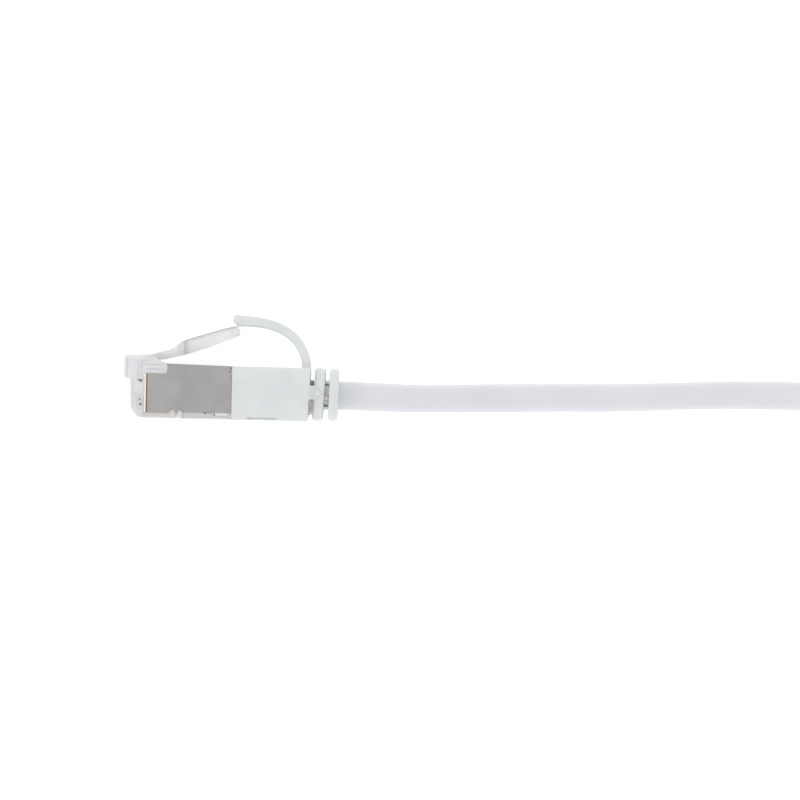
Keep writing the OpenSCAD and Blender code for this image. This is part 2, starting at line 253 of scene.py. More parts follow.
# -------- materials
class Finish:
    """A Principled material whose texture lies in the object's own coordinates, in metres."""

    def __init__(self, name, colour, rough, **sockets):
        self.mat = bpy.data.materials.new(name)
        self.mat.use_nodes = True
        self.tree = self.mat.node_tree
        self.bsdf = self.tree.nodes["Principled BSDF"]
        self.bsdf.inputs["Base Color"].default_value = (*colour, 1)
        self.bsdf.inputs["Roughness"].default_value = rough
        for socket, value in sockets.items():
            self.bsdf.inputs[socket.replace("_", " ")].default_value = value
        self.where = self.node("ShaderNodeTexCoord").outputs["Object"]
        self.normal = None

    def node(self, kind, **inputs):
        """A new node with these inputs set. In their names, _ stands for a space."""
        made = self.tree.nodes.new(kind)
        for name, value in inputs.items():
            made.inputs[name.replace("_", " ")].default_value = value
        return made

    def link(self, a, b):
        self.tree.links.new(a, b)

    def noise(self, grain_mm, detail=3, rough=0.55, stretch=(1, 1, 1)):
        """Noise with features about grain_mm across, drawn out where stretch is below 1."""
        mapping = self.node("ShaderNodeMapping", Scale=stretch)
        self.link(self.where, mapping.inputs["Vector"])
        made = self.node("ShaderNodeTexNoise", Scale=1 / (grain_mm * MM), Detail=detail, Roughness=rough)
        self.link(mapping.outputs["Vector"], made.inputs["Vector"])
        return made.outputs["Fac"]

    def colour(self, value, colour_low, colour_high, low=0.35, high=0.65):
        """The base colour runs between the two as value goes from low to high."""
        ramp = self.node("ShaderNodeValToRGB")
        for stop, place, colour in zip(ramp.color_ramp.elements, (low, high), (colour_low, colour_high)):
            stop.position, stop.color = place, (*colour, 1)
        self.link(value, ramp.inputs["Fac"])
        self.link(ramp.outputs["Color"], self.bsdf.inputs["Base Color"])
        return self

    def roughness(self, value, rough_low, rough_high, low=0.3, high=0.7):
        made = self.node("ShaderNodeMapRange", From_Min=low, From_Max=high,
                         To_Min=rough_low, To_Max=rough_high)
        self.link(value, made.inputs["Value"])
        self.link(made.outputs["Result"], self.bsdf.inputs["Roughness"])
        return self

    def bump(self, value, height_mm, strength=1.0):
        made = self.node("ShaderNodeBump", Strength=strength, Distance=height_mm * MM)
        self.link(value, made.inputs["Height"])
        if self.normal is not None:
            self.link(self.normal, made.inputs["Normal"])
        self.normal = made.outputs["Normal"]
        self.link(self.normal, self.bsdf.inputs["Normal"])
        return self


def shade(colour, factor):
    return tuple(min(1, c * factor) for c in colour)


def clear_plastic():
    """Polished polycarbonate, very slightly lavender, with faint flow lines."""
    f = Finish("clear_polycarbonate", (0.95, 0.945, 0.97), 0.06, Transmission_Weight=0.86, IOR=1.5)
    f.colour(f.noise(2.5), (0.93, 0.925, 0.955), (0.965, 0.96, 0.98))
    f.roughness(f.noise(1.2), 0.03, 0.14)
    f.bump(f.noise(2.5, 2), 0.02, 0.35)
    f.bump(f.noise(0.25, 2), 0.002, 0.5)
    return f.mat


def frosted_plastic(name, colour, clearness, milky=0.4):
    """The same plastic on the side faces, where the mould is textured. It blurs what lies behind it."""
    f = Finish(name, colour, 0.35, Transmission_Weight=clearness, IOR=1.4, Specular_IOR_Level=0.3,
               Subsurface_Weight=milky, Subsurface_Scale=0.0012, Subsurface_Radius=(1, 0.95, 0.95))
    f.colour(f.noise(0.9, 4), shade(colour, 0.965), shade(colour, 1.02))
    f.roughness(f.noise(0.5), 0.28, 0.44)
    f.bump(f.noise(0.08, 3), 0.004, 0.5)
    f.bump(f.noise(0.6, 3, 0.6, (0.3, 1, 1)), 0.02, 0.35)
    return f.mat


def edge_painted_shade():
    """The edges of the clear plastic's sides, painted darker as painted shade for the light they bend away.
    """
    f = Finish("edge_painted_shade", (0.5, 0.49, 0.5), 0.16, Transmission_Weight=0.3, IOR=1.45)
    f.colour(f.noise(0.5, 4), (0.33, 0.32, 0.335), (0.54, 0.53, 0.545))
    f.roughness(f.noise(0.3), 0.1, 0.24)
    f.bump(f.noise(0.2, 2), 0.004, 0.4)
    return f.mat


def window_painted_shade():
    """Thin spots of the side wall over the last wire's end and the last pin, painted dark as painted shade.
    """
    f = Finish("window_painted_shade", (0.24, 0.2, 0.21), 0.3, Transmission_Weight=0.2, IOR=1.45)
    f.colour(f.noise(0.15, 3), (0.12, 0.1, 0.11), (0.5, 0.46, 0.47))
    f.bump(f.noise(0.1, 2), 0.004, 0.4)
    return f.mat


def nickel_sheet():
    """Matt nickel plate: fine rolling marks along the plug, cloudy at a larger scale."""
    f = Finish("nickel_sheet", (0.44, 0.43, 0.425), 0.45, Metallic=1.0)
    f.colour(f.noise(5, 6, 0.62), (0.405, 0.397, 0.392), (0.475, 0.466, 0.459))
    f.roughness(f.noise(0.6, 4, 0.65), 0.4, 0.52)
    f.bump(f.noise(0.05, 3, 0.6, (0.12, 1, 1)), 0.0014, 0.4)
    f.bump(f.noise(0.4, 3, 0.6), 0.003, 0.3)
    return f.mat


def nickel_painted_highlight():
    """The same plate along its bends, painted brighter as a painted highlight."""
    f = Finish("nickel_painted_highlight", (0.68, 0.675, 0.67), 0.36, Metallic=1.0)
    f.colour(f.noise(2.5, 4, 0.6, (0.4, 1, 1)), (0.655, 0.65, 0.642), (0.705, 0.7, 0.695))
    f.roughness(f.noise(0.3, 3, 0.6, (0.2, 1, 1)), 0.32, 0.4)
    f.bump(f.noise(0.3, 3, 0.6, (0.3, 1, 1)), 0.006, 0.4)
    return f.mat


def lip_painted_highlight():
    """The shield's turned front edge, warm where gold flash shows through the nickel, and painted bright as
    a painted highlight.
    """
    f = Finish("lip_painted_highlight", (1.0, 0.95, 0.84), 0.5)
    f.colour(f.noise(0.3, 3), (0.94, 0.83, 0.66), (0.98, 0.93, 0.84))
    f.bump(f.noise(0.1, 2), 0.004, 0.4)
    return f.mat


def crease_painted_shadow():
    """The groove behind the turned edge, its shadow painted in dark brown."""
    f = Finish("crease_painted_shadow", (0.2, 0.14, 0.08), 0.6, Metallic=0.4)
    f.colour(f.noise(0.3, 3), (0.14, 0.095, 0.055), (0.32, 0.22, 0.13))
    return f.mat


def boot_plastic():
    """Soft white PVC with a faint cool tint and a fine spark-eroded grain."""
    f = Finish("boot_plastic", (0.762, 0.788, 0.792), 0.5, Subsurface_Weight=0.25, Subsurface_Scale=0.0008,
               Subsurface_Radius=(1, 0.9, 0.85), Specular_IOR_Level=0.35)
    f.colour(f.noise(4, 3), (0.748, 0.773, 0.781), (0.777, 0.804, 0.804), 0.4, 0.6)
    f.roughness(f.noise(0.8, 3), 0.44, 0.56)
    f.bump(f.noise(0.11, 2, 0.6), 0.008, 0.5)
    f.bump(f.noise(2.2, 2), 0.02, 0.3)
    return f.mat


def jacket():
    """Smooth, slightly lavender PVC."""
    f = Finish("cord_jacket", (0.775, 0.78, 0.82), 0.48, Subsurface_Weight=0.2, Subsurface_Scale=0.0007,
               Subsurface_Radius=(1, 0.9, 0.85), Specular_IOR_Level=0.35)
    f.colour(f.noise(6, 3), (0.765, 0.77, 0.812), (0.79, 0.795, 0.835))
    f.roughness(f.noise(1.0, 3), 0.42, 0.56)
    f.bump(f.noise(0.09, 2, 0.6), 0.003, 0.5)
    return f.mat


def gold():
    f = Finish("contact_gold", (0.95, 0.71, 0.32), 0.22, Metallic=1.0)
    f.colour(f.noise(0.4, 3), (0.9, 0.64, 0.27), (0.98, 0.77, 0.4))
    f.roughness(f.noise(0.15, 3), 0.16, 0.34)
    f.bump(f.noise(0.04, 2, 0.6, (0.15, 1, 1)), 0.0015, 0.4)
    return f.mat


def copper():
    f = Finish("copper_core", (0.8, 0.42, 0.28), 0.35, Metallic=1.0)
    f.colour(f.noise(0.1, 3), (0.62, 0.32, 0.2), (0.9, 0.52, 0.36))
    f.bump(f.noise(0.05, 2), 0.004, 0.5)
    return f.mat


def braid_metal():
    """Fine tinned copper wires, with warmer, darker patches where the tin is worn."""
    f = Finish("copper_braid", (0.9, 0.8, 0.72), 0.5, Metallic=0.1)
    f.colour(f.noise(0.35, 4, 0.7, (0.4, 1, 1)), (0.8, 0.67, 0.57), (1.0, 0.97, 0.93), 0.36, 0.58)
    f.bump(f.noise(0.1, 3, 0.6, (0.4, 1, 1)), 0.03, 0.8)
    return f.mat


def crimped_metal(name, dark, bright):
    """Tin or nickel plate in a warm grey mottle between a dark and a bright level."""
    colours = [(level, level * 0.97, level * 0.92) for level in (dark, bright)]
    f = Finish(name, colours[1], 0.5, Metallic=0.1)
    f.colour(f.noise(0.5, 4, 0.7), *colours, 0.38, 0.64)
    f.roughness(f.noise(0.2, 3), 0.4, 0.6)
    f.bump(f.noise(0.2, 3), 0.02, 0.6)
    return f.mat


def foil():
    f = Finish("screen_foil", (0.8, 0.8, 0.81), 0.25, Metallic=1.0)
    f.colour(f.noise(0.5, 3), (0.7, 0.7, 0.71), (0.86, 0.86, 0.88))
    f.bump(f.noise(0.35, 4, 0.7), 0.04, 0.9)
    return f.mat


def insert_plastic():
    f = Finish("insert_plastic", (0.78, 0.78, 0.76), 0.5)
    f.colour(f.noise(2.0, 3), (0.76, 0.76, 0.74), (0.82, 0.82, 0.8))
    f.bump(f.noise(0.08, 2), 0.003, 0.5)
    return f.mat


def insulation(name, colour):
    f = Finish("insulation_" + name, colour, 0.4)
    f.colour(f.noise(1.5, 3), shade(colour, 0.9), shade(colour, 1.06))
    f.bump(f.noise(0.1, 2), 0.003, 0.4)
    return f.mat


def woven_strap():
    """A hook-and-loop strap: a fine plain weave with fuzz over it."""
    f = Finish("tie_strap", (0.035, 0.035, 0.04), 0.85, Sheen_Weight=0.35, Sheen_Roughness=0.5)
    waves = [f.node("ShaderNodeTexWave", Scale=1 / (0.9 * MM)) for _ in range(2)]
    waves[0].bands_direction, waves[1].bands_direction = "X", "DIAGONAL"
    for wave in waves:
        f.link(f.where, wave.inputs["Vector"])
    weave = f.node("ShaderNodeMath")
    weave.operation = "MULTIPLY"
    f.link(waves[0].outputs["Fac"], weave.inputs[0])
    f.link(waves[1].outputs["Fac"], weave.inputs[1])
    f.colour(f.noise(0.25, 4, 0.7), (0.02, 0.02, 0.023), (0.075, 0.075, 0.08))
    f.bump(weave.outputs[0], 0.06, 0.8)
    f.bump(f.noise(0.12, 4, 0.75), 0.08, 0.8)
    return f.mat


CLEAR, NICKEL, NICKEL_PAINTED_HIGHLIGHT = clear_plastic(), nickel_sheet(), nickel_painted_highlight()
FROSTED_NOSE = frosted_plastic("frosted_nose", (0.81, 0.806, 0.824), 0.18)
# A lighter copy of the frosted plastic for the latch: painted light, for the light that comes through the
# thin latch
LATCH_PAINTED_LIGHT = frosted_plastic("frosted_latch_painted_light", (0.975, 0.97, 0.99), 0.05, 0.15)
# Another copy of the frosted plastic: painted shade on the latch's bevels and a painted highlight on the
# housing's rib
EDGE_SHADE_RIB_HIGHLIGHT = frosted_plastic("painted_edge_shade_rib_highlight", (0.9, 0.895, 0.92), 0.05, 0.15)
# The strip along the bottom: the gold contacts' glow through it is painted in as a warm tint
SOLE_PAINTED_GLOW = frosted_plastic("frosted_sole_painted_glow", (0.81, 0.765, 0.72), 0.18)    # warm with gold behind it
# A darker copy of the frosted plastic: painted shade on the floors of the mark lines and along the latch
# plate's sides
LINE_PAINTED_SHADE = frosted_plastic("mark_lines", (0.7, 0.695, 0.71), 0.15)
EDGE_PAINTED_SHADE, WINDOW_PAINTED_SHADE, LIP_PAINTED_HIGHLIGHT, CREASE_PAINTED_SHADOW = edge_painted_shade(), window_painted_shade(), lip_painted_highlight(), crease_painted_shadow()
BOOT, JACKET, GOLD, COPPER = boot_plastic(), jacket(), gold(), copper()
BRAID, FOIL, INSERT, STRAP = braid_metal(), foil(), insert_plastic(), woven_strap()
CRIMP = crimped_metal("crimp_metal", 0.42, 0.95)
# The strap's nickel, painted darker as painted shade from the boot over it
STRAP_PAINTED_SHADE = crimped_metal("strap_nickel_painted_shade", 0.22, 0.5)
WHITE_WIRE = insulation("white", (0.8, 0.8, 0.78))
WIRE = {name: insulation(name, colour) for name, colour in (
    ("orange", (0.8, 0.3, 0.05)), ("green", (0.06, 0.36, 0.12)),
    ("blue", (0.06, 0.16, 0.5)), ("brown", (0.2, 0.1, 0.05)))}
# Wires 1 to 8, as a pair's colour and whether the wire is the white one of its pair
WIRE_ORDER = [("orange", True), ("orange", False), ("green", True), ("blue", False),
              ("blue", True), ("green", False), ("brown", True), ("brown", False)]


# -------- solid building, in the plug's frame
SLIVER = 0.0002     # in millimetres


def loft(bm, rings):
    """A closed skin through rings of as many points each."""
    loops = [[bm.verts.new(p) for p in ring] for ring in rings]
    for a, b in zip(loops, loops[1:]):
        for k in range(len(a)):
            bm.faces.new((a[k - 1], a[k], b[k], b[k - 1]))
    bm.faces.new(loops[0])
    bm.faces.new(loops[-1])


def prism(bm, outline, z0, z1):
    """A plate with this outline in X and Y, from z0 to z1."""
    loft(bm, [[(x, y, z) for x, y in outline] for z in (z0, z1)])


def slab(bm, outline, half):
    """A plate with this outline in X and Y, half to each side of the plug's middle."""
    prism(bm, outline, MID_Z - half, MID_Z + half)


def bar(bm, outline, x0, x1):
    """A bar along X with this outline in Y and Z."""
    loft(bm, [[(x, y, z) for y, z in outline] for x in (x0, x1)])


def wall(bm, outline, y0, y1):
    """A wall along Y with this outline in X and Z."""
    loft(bm, [[(x, y, z) for x, z in outline] for y in (y0, y1)])


def box(bm, low, high):
    (x0, y0, z0), (x1, y1, z1) = low, high
    prism(bm, [(x0, y0), (x1, y0), (x1, y1), (x0, y1)], z0, z1)


def arc(cx, cy, r, start, end, steps):
    """Points of an arc, its ends included, angles in degrees. r is a radius, or one for each axis."""
    rx, ry = r if isinstance(r, tuple) else (r, r)
    angles = [math.radians(start + (end - start) * k / steps) for k in range(steps + 1)]
    return [(cx + rx * math.cos(a), cy + ry * math.sin(a)) for a in angles]


def circle(cx, cy, r, steps):
    return arc(cx, cy, r, 0, 360, steps)[:-1]


def round_rect(a0, a1, b0, b1, r, steps):
    """A rectangle with round corners. r is one radius, or one for each corner."""
    r00, r10, r11, r01 = r if isinstance(r, tuple) else (r,) * 4
    return (arc(a0 + r00, b0 + r00, r00, 180, 270, steps) + arc(a1 - r10, b0 + r10, r10, 270, 360, steps)
            + arc(a1 - r11, b1 - r11, r11, 0, 90, steps) + arc(a0 + r01, b1 - r01, r01, 90, 180, steps))


def both_sides(z0, z1):
    """The pair of z ranges that mirror each other across the plug."""
    return (z0, z1), (PLUG_W - z1, PLUG_W - z0)


def solid(name, draw):
    """The object that draw(bm) makes, its faces turned outwards."""
    bm = bmesh.new()
    draw(bm)
    bmesh.ops.remove_doubles(bm, verts=bm.verts, dist=1e-5)
    bmesh.ops.recalc_face_normals(bm, faces=bm.faces)
    mesh = bpy.data.meshes.new(name)
    bm.to_mesh(mesh)
    bm.free()
    return new_object(name, mesh)


def applied(obj):
    """The object with its modifiers made real."""
    graph = bpy.context.evaluated_depsgraph_get()
    mesh = bpy.data.meshes.new_from_object(obj.evaluated_get(graph))
    obj.modifiers.clear()
    old, obj.data = obj.data, mesh
    bpy.data.meshes.remove(old)
    return obj


def combine(obj, draw, operation, own_overlaps=True):
    """Cuts or adds what draw(bm) makes. The quicker own_overlaps=False needs shells that don't overlap."""
    tool = solid("tool", draw)
    mod = obj.modifiers.new("combine", "BOOLEAN")
    mod.operation, mod.solver, mod.object, mod.use_self = operation, "EXACT", tool, own_overlaps
    applied(obj)
    bpy.data.objects.remove(tool)


def cut(obj, draw, own_overlaps=True):
    combine(obj, draw, "DIFFERENCE", own_overlaps)


def fuse(obj, draw):
    combine(obj, draw, "UNION")


def cleaned(obj):
    """Closes up the edges and faces smaller than a sliver that cuts and bevels leave."""
    bm = bmesh.new()
    bm.from_mesh(obj.data)
    bmesh.ops.remove_doubles(bm, verts=bm.verts, dist=SLIVER)
    bmesh.ops.dissolve_degenerate(bm, edges=bm.edges, dist=SLIVER)
    bm.to_mesh(obj.data)
    bm.free()
    return obj


def smooth_shaded(obj, angle):
    """Shades the faces smoothly, except across edges sharper than angle degrees."""
    for poly in obj.data.polygons:
        poly.use_smooth = True
    obj.data.set_sharp_from_angle(angle=math.radians(angle))
    return obj


def soften(obj, width, segments=2, angle=40):
    """Rounds the sharp edges, by less than width where short edges leave no room."""
    bevel = obj.modifiers.new("bevel", "BEVEL")
    bevel.width, bevel.segments, bevel.limit_method = width, segments, "ANGLE"
    bevel.angle_limit = math.radians(angle)
    bevel.miter_outer = "MITER_ARC"
    return flat_between_edges(applied(obj))


def flat_between_edges(obj):
    """Shades broad faces flat, right up to their rounded edges."""
    smooth_shaded(cleaned(obj), 50)
    obj.modifiers.new("weigh", "WEIGHTED_NORMAL").keep_sharp = True
    return applied(obj)


def dress(obj, *materials):
    obj.data.materials.clear()
    for material in materials:
        obj.data.materials.append(material)
    return obj


def paint(obj, index, chosen):
    """Gives the faces for which chosen(centre, normal) holds the material at this index."""
    for poly in obj.data.polygons:
        if chosen(poly.center, poly.normal):
            poly.material_index = index
    return obj


def joined(objects):
    """The objects as one piece, materials kept. It has the first one's name."""
    with bpy.context.temp_override(active_object=objects[0], object=objects[0],
                                   selected_objects=objects, selected_editable_objects=objects):
        bpy.ops.object.join()
    return objects[0]


# -------- the pieces of one plug
PITCH = 1.016                        # from one contact to the next
BLADE_T = 0.32
WIRE_D = 0.74
NIBS = [(6.27, 0.78, 0.4, 0.54), (7.26, 0.72, 0.41, 0.58)]   # x, y and half sizes
SEAM_SLOT = (10.3, 11.6, 13.43)      # a dark slit to the second x, then a wider part that a rib fills
# Depths below the nose's side faces: of the lines, the strip along the bottom and the thin spots
MARK_DEPTH, SOLE_DEPTH, WINDOW_DEPTH = 0.05, 0.12, 0.14


def wire_z(i):
    return MID_Z + (i - 4.5) * PITCH


def wire_y(i):
    """The even wires lie in the row nearer the latch."""
    return 4.95 if i % 2 == 0 else 3.95


def wire_x(i):
    return 2.0 if i % 2 == 0 else 2.8


def housing():
    """The clear body: a nose with contact slots and wire channels, and a sleeve under the shield."""
    inset = SHEET_T + 0.02
    body = solid("clear_housing", lambda bm: prism(bm, [
        (0.78, 5.15), (0.92, 1.36), (1.86, 0.25), (NOSE_L, 0.2), (6.6, 0.2), (6.6, 0.95), (13.4, 0.95),
        (13.4, 6.93), (5.62, 6.93), (5.56, 7.2), (5.3, 7.33), (4.7, 7.46), (4.42, 7.64), (4.05, 7.97),
        (3.45, NOSE_H), (0.25, NOSE_H), (0, 7.98), (0, 5.38), (0.22, 5.15)], 0, PLUG_W))

    def pockets(bm):
        for z0, z1 in both_sides(-1, inset):
            prism(bm, [(NOSE_L - 0.1, -1), (14, -1), (14, 9), (5.42, 9), (5.42, 7.4), (5.66, 6.7),
                       (5.45, 5.88), (NOSE_L - 0.1, 5.88)], z0, z1)
    cut(body, pockets)

    def top_recess(bm):
        box(bm, (2.1, 6.85, 2.3), (6.2, 7.55, PLUG_W - 2.3))
        box(bm, (NOSE_L + 0.02, 7.5, 2.2), (6.25, 9, PLUG_W - 2.2))
    cut(body, top_recess)

    def sole(bm):
        for z0, z1 in both_sides(SOLE_DEPTH, 1):
            box(bm, (NOSE_L - 0.2, 0.25, z0), (6.5, 0.9, z1))
    fuse(body, sole)
    for x, y, rx, ry in NIBS:
        def nib(bm):
            for z0, z1 in both_sides(0.02, 0.9):
                prism(bm, circle(x, y, (rx, ry), 20), z0, z1)
        fuse(body, nib)

    def rib(bm):
        for z0, z1 in both_sides(0.03, 1.0):
            box(bm, (SEAM_SLOT[1] + 0.14, 0.65, z0), (13.39, 1.05, z1))
    fuse(body, rib)
    soften(body, 0.09)

    cut(body, lambda bm: box(bm, (7.6, 1.6, 1.3), (14.4, 6, PLUG_W - 1.3)))
    cut(body, lambda bm: box(bm, (2.9, 3.2, 1.3), (7.7, 5.7, PLUG_W - 1.3)))
    for first in (1, 2):
        def bores(bm):
            for i in range(first, 9, 2):
                bar(bm, circle(wire_y(i), wire_z(i), WIRE_D / 2 + 0.06, 16), wire_x(i) - 0.2, 3)
        cut(body, bores)

    def contact_slots(bm):
        half = BLADE_T / 2 + 0.03
        for i in range(1, 9):
            box(bm, (1.4, -1, wire_z(i) - half), (6.35, 3.4, wire_z(i) + half))
    cut(body, contact_slots)

    def mark_lines(bm):
        for z0, z1 in both_sides(-1, MARK_DEPTH):
            for low, high in (((0.36, 5.45), (0.48, 7.9)), ((1.76, 5.4), (1.88, 7.4)),
                              ((2.18, 5.6), (2.3, 7.4)), ((1.14, 1.5), (1.24, 5.1)),
                              ((2.95, 6.4), (5.15, 6.52)), ((2.4, 6.98), (5.15, 7.06))):
                box(bm, (*low, z0), (*high, z1))
    cut(body, mark_lines)
    cut(body, lambda bm: [box(bm, (0.6, 7.5, z0), (3.2, 7.58, z1)) for z0, z1 in both_sides(-1, MARK_DEPTH)])

    def windows(bm):
        for z0, z1 in both_sides(-1, WINDOW_DEPTH):
            for x, y, r in ((2.2, 4.98, 0.21), (1.88, 5.03, 0.12), (2.08, 2.56, 0.13), (2.2, 1.92, 0.17)):
                prism(bm, circle(x, y, r, 12), z0, z1)
    cut(body, windows)
    return paint_housing(flat_between_edges(body))


def paint_housing(body):
    """Its sides are frosted, with painted shade on the edges, marks and thin spots, a painted warm glow on
    the strip along the bottom, and the rib painted bright as a highlight.
    """
    def depth(c):
        return min(c.z, PLUG_W - c.z)

    def flat_at(level, c, n, within=0.005):
        return abs(n.z) > 0.9 and abs(depth(c) - level) < within

    dress(body, CLEAR, FROSTED_NOSE, EDGE_PAINTED_SHADE, SOLE_PAINTED_GLOW, LINE_PAINTED_SHADE, WINDOW_PAINTED_SHADE, EDGE_SHADE_RIB_HIGHLIGHT)
    paint(body, 1, lambda c, n: abs(n.z) > 0.9 and depth(c) < 0.3)
    # the bevels get painted shade
    paint(body, 2, lambda c, n: 0.15 < abs(n.z) <= 0.9 and depth(c) < 0.3)
    # the strip along the bottom gets the painted warm glow
    paint(body, 3, lambda c, n: flat_at(SOLE_DEPTH, c, n, 0.02) and c.y < 0.95)
    # the floors of the mark lines get painted shade
    paint(body, 4, lambda c, n: flat_at(MARK_DEPTH, c, n))
    # the thin spots get painted shade
    paint(body, 5, lambda c, n: flat_at(WINDOW_DEPTH, c, n))
    # the rib is painted bright as a painted highlight
    return paint(body, 6, lambda c, n: c.x > SEAM_SLOT[1] and c.y < 1.05 and depth(c) < 0.2)


def latch():
    """A thin blade with catch shoulders, and a narrower handle with a thin plate along its top."""
    half, grip = LATCH_W / 2, HANDLE_W / 2
    plate = grip + 0.2
    body = solid("latch_drawing", lambda bm: slab(bm, [
        (NOSE_L - 0.14, 7.62), (5.1, 7.7), (7.4, 8.27), (7.6, 8.35), (7.6, 9.98), (7.1, 9.88), (6.5, 9.5),
        (5.85, 9.04), (4.6, 8.7), (3.5, 8.34), (NOSE_L - 0.14, 8.2)], half))

    def catch_chamfers(bm):
        for side in (-1, 1):
            z = MID_Z + side * half
            z_in = z - side * 0.8
            wall(bm, [(6.7, z + side), (6.7, z), (7.62, z_in), (8, z_in), (8, z + side)], 7.5, 10.5)
    cut(body, catch_chamfers)
    fuse(body, lambda bm: slab(bm, [
        (6.9, 8.14), (8.32, 8.54), (10.87, 9.41), (13.16, 10.32), (14.5, 10.84), (14.7, 11.0),
        (14.74, 11.55), (14.55, 11.9), (14.2, 12.02), (13.1, 11.86), (12.1, 11.54), (8.28, 10.36),
        (6.9, 9.7)], grip))
    fuse(body, lambda bm: slab(bm, [
        (6.9, 9.7), (8.34, 10.33), (12.15, 11.5), (14.1, 12.0), (14.2, 12.13), (13.9, 12.16), (13.1, 11.98),
        (12.1, 11.68), (8.6, 10.6), (7.8, 10.34), (6.9, 9.86)], plate))
    fuse(body, lambda bm: slab(bm, circle(14.28, 11.5, 0.45, 20), plate))
    knob = arc(14.3, 12.1, 0.2, -30, 210, 12) + [(14.05, 11.6), (14.5, 11.6)]
    fuse(body, lambda bm: slab(bm, knob, plate))
    # the latch's faces get the lighter copy, painted light
    dress(soften(body, 0.09, 3, 35), CLEAR, LATCH_PAINTED_LIGHT, EDGE_SHADE_RIB_HIGHLIGHT, LINE_PAINTED_SHADE)
    # the bevels get painted shade in a light grey
    paint(body, 2, lambda c, n: 0.15 < abs(n.z) <= 0.9)
    paint(body, 1, lambda c, n: abs(n.z) > 0.9 or (6.7 < c.x < 7.8 and abs(n.z) > 0.1 and c.y < 9.8))
    # the plate's sides get a line of painted shade
    return paint(body, 3, lambda c, n: 8 < c.x < 13 and abs(c.z - MID_Z) > grip + 0.05)


def contact(i):
    """A flat blade: a round nose and a straight lower edge to touch, and two prongs into the wire."""
    z, tip, back = wire_z(i), wire_y(i) - WIRE_D / 2 + 0.3, 2.6
    prong = ((0.25, back), (0.25, tip - 0.35), (0, tip), (-0.25, tip - 0.35), (-0.25, back))
    outline = arc(2.1, 0.95, 0.6, 180, 270, 6) + arc(6.1, 0.55, 0.2, 270, 360, 3) + [(6.3, back)]
    outline += [(x + dx, y) for x in (4.85, 3.45) for dx, y in prong] + [(1.5, back)]
    blade = solid(f"blade_{i}", lambda bm: prism(bm, outline, z - BLADE_T / 2, z + BLADE_T / 2))
    return dress(soften(blade, 0.04), GOLD)


def wire(i):
    """One insulated wire, from its cut end in the nose to the round bundle in the boot."""
    # Its place in the bundle: seven wires lie round one
    place = [-2, -1, -3, 0, None, 1, 3, 2][i - 1]
    turn = math.radians((place or 0) * 360 / 7)
    reach = 0 if place is None else 0.9
    at = (AXIS_Y + reach * math.cos(turn), MID_Z + reach * math.sin(turn))
    y, z, x0 = wire_y(i), wire_z(i), wire_x(i)
    # How far towards its place the wire has come at each x
    shares = [(x0, 0), (5, 0), (9, 0), (10.5, 0.06), (12.5, 0.3), (14.5, 0.7), (16.5, 0.94), (18, 1),
              (22, 1), (JACKET_X, 1)]
    line = smooth_line([(x, y + (at[0] - y) * s, z + (at[1] - z) * s) for x, s in shares], 0.4)
    # The cut end is pinched a little
    lead = sweep(f"conductor_{i}", line, lambda s, a: WIRE_D / 2 * (1 - 0.12 * math.exp(-s / 0.06)), 16)
    core = sweep("core", [(x0 - 0.04, y, z), (x0, y, z), (x0 + 0.3, y, z)], lambda s, a: 0.2, 12)
    colour, striped = WIRE_ORDER[i - 1]
    dress(lead, WHITE_WIRE if striped else WIRE[colour], WIRE[colour])
    if striped:
        for poly in lead.data.polygons[:-2]:
            poly.material_index = 1 if poly.index % 16 in (2, 3, 4) else 0
    return joined([lead, dress(core, COPPER)])


def shield_outline(t):
    """The shield's section in Y and Z, t inside its outer face: a slanted lower edge runs into the bend."""
    w = PLUG_W - t
    y0, y2 = BOTTOM + t, 0.45 + t * 0.7
    z0, z1, z2 = w - 0.85 + t, w - 0.34 + t * 0.4, w - 0.2
    bend = []
    for k in range(9):
        s = k / 8
        bend.append((y0 * (1 - s) ** 2 + 2 * y0 * s * (1 - s) + y2 * s * s,
                     z0 * (1 - s) ** 2 + 2 * z1 * s * (1 - s) + z2 * s * s))
    high = bend + [(0.93, w)] + arc(SHIELD_H - t - 0.18, w - 0.18, 0.18, 90, 0, 4)
    return high + [(y, PLUG_W - z) for y, z in reversed(high)]


